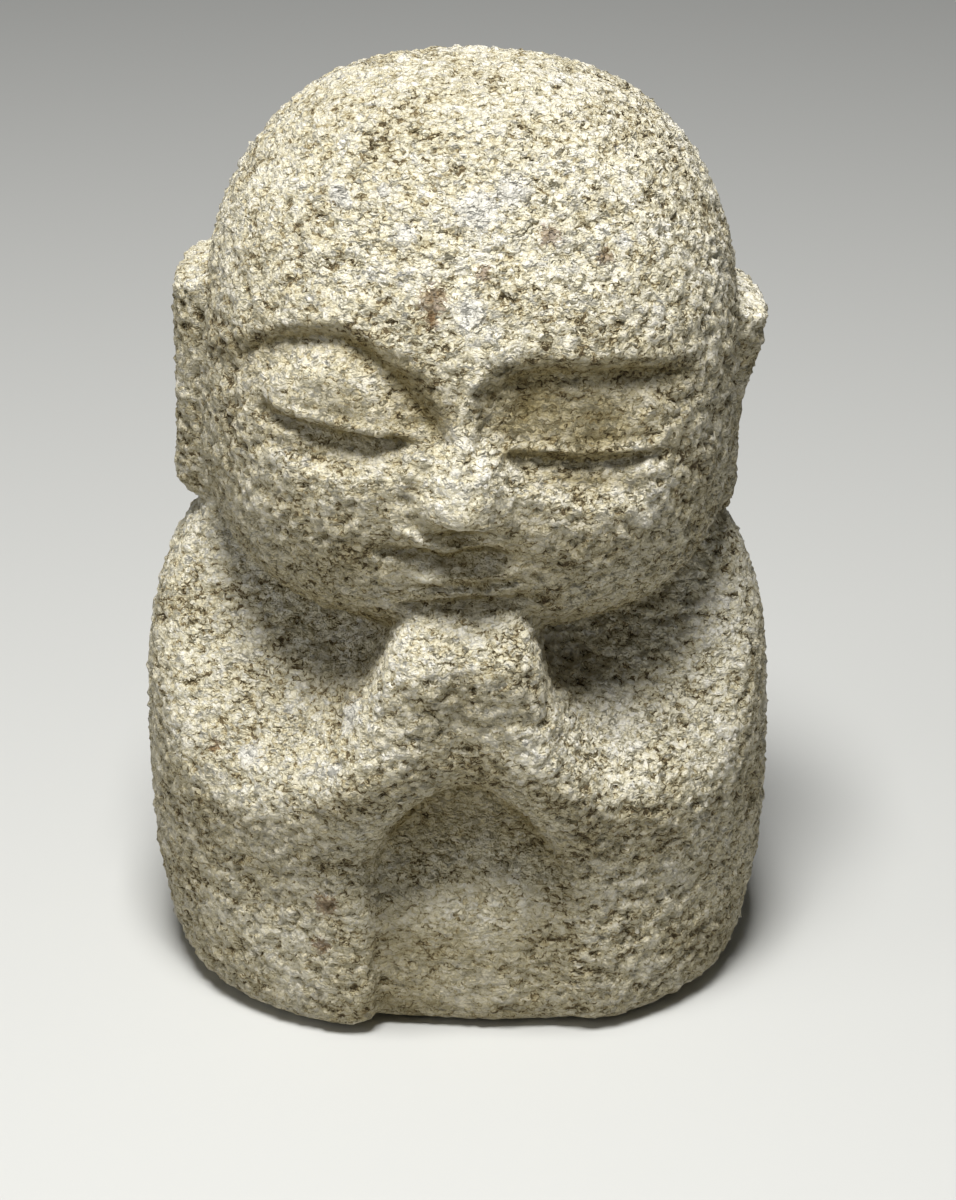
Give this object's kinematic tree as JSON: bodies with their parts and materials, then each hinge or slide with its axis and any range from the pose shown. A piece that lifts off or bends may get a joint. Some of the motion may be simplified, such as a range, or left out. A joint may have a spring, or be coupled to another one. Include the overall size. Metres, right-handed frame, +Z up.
{
  "type": "stone jizo statue",
  "caption": "Small carved granite jizo: a monk with a round, childlike head and closed eyes, hands pressed together under the chin, on a flat base.",
  "frame": {"origin": "middle of the bounding box at the flat underside", "axes": "+Z up, the face and the hands look along -Y, +X is to the right of somebody facing the figure"},
  "size_m": [0.0678, 0.0598, 0.099],
  "materials": {
    "stone": "rough pecked granite, cream with brown grains"
  },
  "bodies": {
    "root": {"jizo_statue": "stone"}
  },
  "joints": []
}
